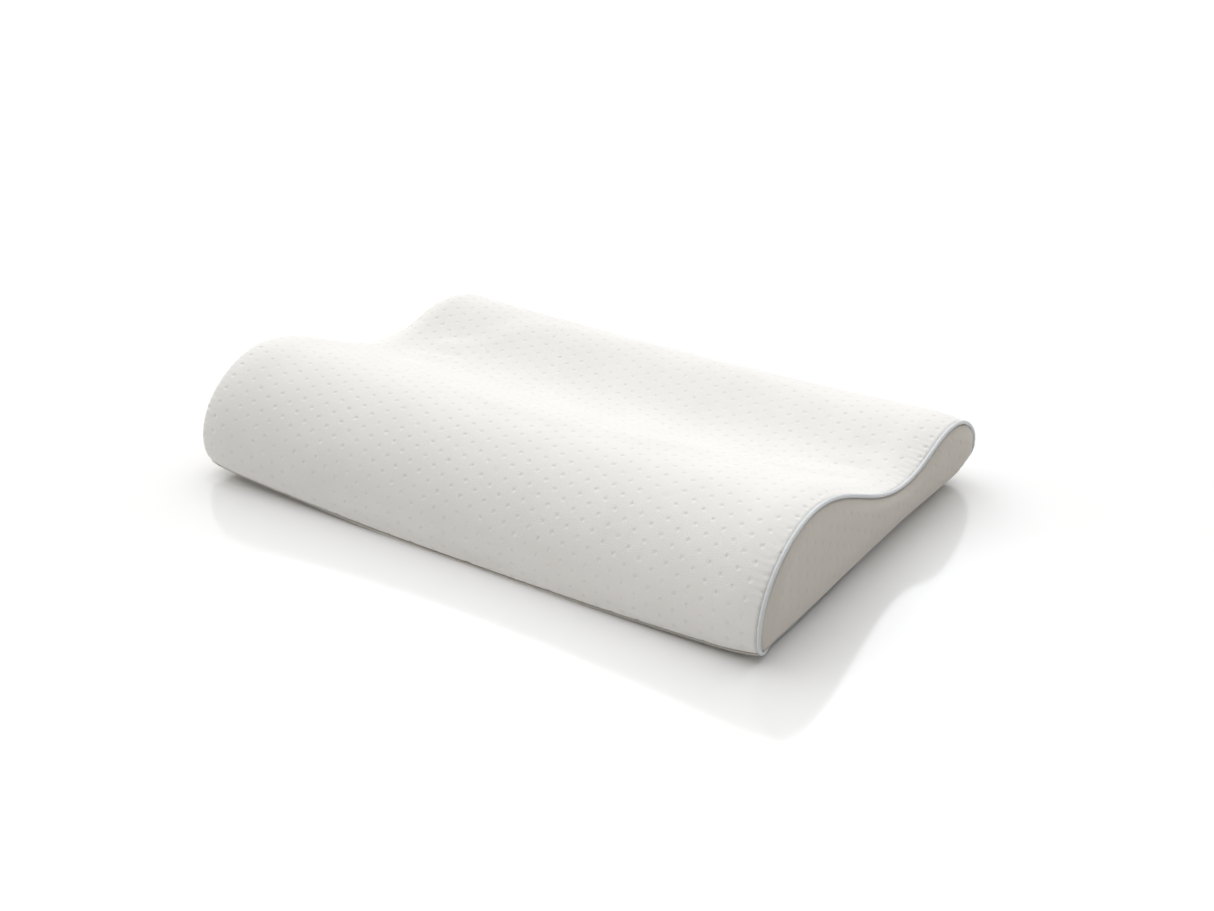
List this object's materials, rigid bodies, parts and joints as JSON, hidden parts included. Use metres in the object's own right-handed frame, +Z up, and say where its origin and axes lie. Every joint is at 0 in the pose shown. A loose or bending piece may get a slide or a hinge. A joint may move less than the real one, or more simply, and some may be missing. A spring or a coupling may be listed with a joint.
{
  "type": "contoured bed pillow",
  "caption": "Wave-shaped bed pillow: a foam core with a high and a low lobe in a zipped knitted cover with piped end panels.",
  "frame": {"origin": "centre of the bounding box's bottom face, on the surface the pillow lies on", "axes": "+X along the pillow's length, +Y towards the low lobe and the zip, -Y towards the high neck lobe, +Z up"},
  "size_m": [0.512, 0.3358, 0.086],
  "materials": {
    "foam": "open-cell viscoelastic foam, matt",
    "knit": "soft double knit with small dimples, matt",
    "base_knit": "plain knit, matt",
    "satin": "satin bias piping, soft sheen",
    "tape": "woven polyester zip tape",
    "nylon": "nylon coil",
    "zip_metal": "satin die-cast metal"
  },
  "bodies": {
    "pillow": {"foam_core": "foam", "cover_top_band": "knit", "cover_base_panel": "base_knit", "cover_end_panel_right": "knit", "cover_end_panel_left": "knit", "piping_right": "satin", "piping_left": "satin", "zip_tape_upper": "tape", "zip_tape_lower": "tape", "zip_chain_upper": "nylon", "zip_chain_lower": "nylon", "zip_top_stop_upper": "zip_metal", "zip_top_stop_lower": "zip_metal", "zip_bottom_stop": "zip_metal"},
    "slider": {"zip_slider": "zip_metal"},
    "pull_tab": {"zip_pull_tab": "zip_metal"}
  },
  "joints": [
    {"name": "zip_slide", "type": "slide", "parent": "pillow", "child": "slider", "axis": [1, 0, 0], "range_m": [0, 0.39]},
    {"name": "tab_swing", "type": "hinge", "parent": "slider", "child": "pull_tab", "pos_m": [-0.1952, 0.16605, 0.028], "axis": [0, 0, 1], "range_deg": [0, 180]}
  ]
}
